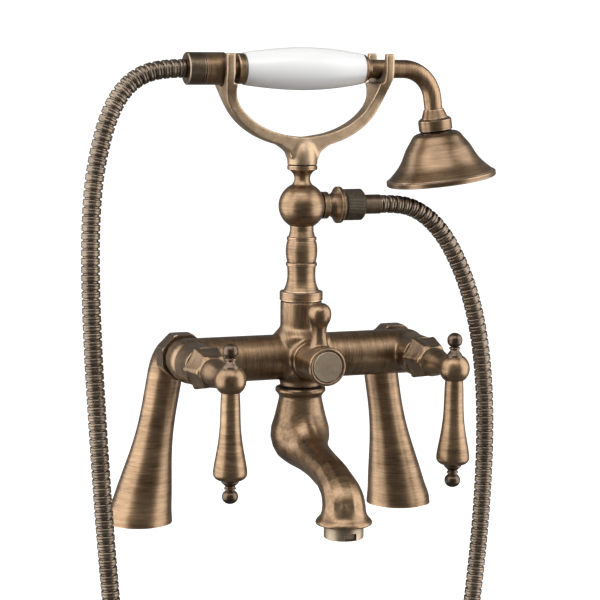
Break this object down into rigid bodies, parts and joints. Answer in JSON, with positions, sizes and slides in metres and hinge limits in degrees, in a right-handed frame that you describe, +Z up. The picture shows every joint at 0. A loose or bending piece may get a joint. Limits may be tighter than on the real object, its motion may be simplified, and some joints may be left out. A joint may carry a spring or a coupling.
{
  "type": "bath shower mixer",
  "caption": "Deck-mounted bath shower mixer with lever handles, S spout, diverter, riser, crescent cradle, hand shower and hose.",
  "frame": {"origin": "midway between the two deck holes, on the deck that the feet stand on", "axes": "+X along the crossbar towards the cold valve, +Y towards the wall, +Z up; the spout points along -Y"},
  "size_m": [0.3358, 0.2006, 0.6855],
  "materials": {
    "bronze": "brushed antique bronze",
    "dark_bronze": "dark antique bronze",
    "brass": "plain machined",
    "steel": "plain",
    "rubber": "matt",
    "hose": "ribbed bronze-finished metal over a soft core",
    "ceramic": "glossy white",
    "disc": "lapped",
    "plastic": "matt"
  },
  "bodies": {
    "mixer": {"aerator_housing": "bronze", "aerator_insert": "plastic", "base_seals": "rubber", "cold_bonnet": "bronze", "cold_valve_housing": "brass", "cradle_screw": "steel", "diverter_housing": "brass", "fixed_discs": "disc", "hose_handset_run": "hose", "hose_nut": "dark_bronze", "hose_outlet_run": "hose", "hot_bonnet": "bronze", "hot_valve_housing": "brass", "left_leg": "bronze", "left_union_nut": "dark_bronze", "mixer_body": "bronze", "outlet_ferrule": "dark_bronze", "outlet_gasket": "rubber", "outlet_washer": "rubber", "right_leg": "bronze", "right_union_nut": "dark_bronze", "riser_bulb": "bronze", "riser_nut": "bronze", "riser_pipe": "bronze", "riser_seal": "rubber", "riser_socket": "bronze", "shower_tee": "bronze", "spout": "bronze", "spout_seal": "rubber", "spout_tail": "brass", "union_washers": "rubber"},
    "hot_handle": {"hot_moving_disc": "disc", "hot_spindle": "brass", "hot_handle_hub": "bronze", "hot_lever": "bronze", "hot_lever_top": "bronze", "hot_lever_tip": "bronze"},
    "cold_handle": {"cold_moving_disc": "disc", "cold_spindle": "brass", "cold_handle_hub": "bronze", "cold_lever": "bronze", "cold_lever_top": "bronze", "cold_lever_tip": "bronze"},
    "diverter": {"diverter_spindle": "brass", "diverter_handle": "bronze", "diverter_screw": "steel", "diverter_cap": "dark_bronze"},
    "cradle": {"cradle": "bronze"},
    "handset": {"hose_end_nut": "dark_bronze", "handset_ferrule": "dark_bronze", "handset_washer": "rubber", "handset_tail": "bronze", "left_grip_collar": "bronze", "ceramic_grip": "ceramic", "right_grip_collar": "bronze", "swan_neck": "bronze", "head_collar": "bronze", "shower_bell": "bronze", "rose_rim": "bronze", "spray_plate": "dark_bronze"}
  },
  "joints": [
    {"name": "hot_turn", "type": "hinge", "parent": "mixer", "child": "hot_handle", "pos_m": [-0.087, -0.0625, 0.135], "axis": [0, 1, 0], "range_deg": [0, 90]},
    {"name": "cold_turn", "type": "hinge", "parent": "mixer", "child": "cold_handle", "pos_m": [0.087, -0.0625, 0.135], "axis": [0, -1, 0], "range_deg": [0, 90]},
    {"name": "diverter_turn", "type": "hinge", "parent": "mixer", "child": "diverter", "pos_m": [0, -0.0625, 0.135], "axis": [0, 1, 0], "range_deg": [0, 90]},
    {"name": "cradle_swivel", "type": "hinge", "parent": "mixer", "child": "cradle", "pos_m": [0, -0.0625, 0.28], "axis": [0, 0, 1], "range_deg": [-45, 90]},
    {"name": "handset_lift", "type": "slide", "parent": "cradle", "child": "handset", "axis": [0, 0, 1], "range_m": [0, 0.06]}
  ]
}
